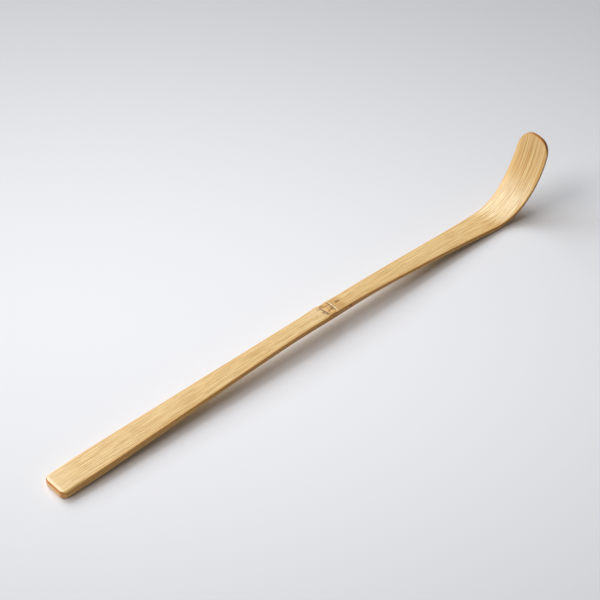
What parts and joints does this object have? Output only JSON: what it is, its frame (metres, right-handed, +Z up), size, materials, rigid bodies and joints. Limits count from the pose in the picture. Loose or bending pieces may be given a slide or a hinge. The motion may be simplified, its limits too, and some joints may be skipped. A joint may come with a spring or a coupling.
{
  "type": "tea scoop",
  "caption": "Slender bamboo tea scoop: a flat tapering strip with the cane's joint near its middle, bent up into a short rounded blade for lifting powdered tea.",
  "frame": {"origin": "on the table under the middle of the scoop's length and width", "axes": "+X along the scoop from the handle's end to the blade, +Y across it, +Z up from the table it lies on"},
  "size_m": [0.1815, 0.0108, 0.0238],
  "materials": {
    "bamboo": "whittled and polished pale bamboo"
  },
  "bodies": {
    "root": {"scoop": "bamboo"}
  },
  "joints": []
}
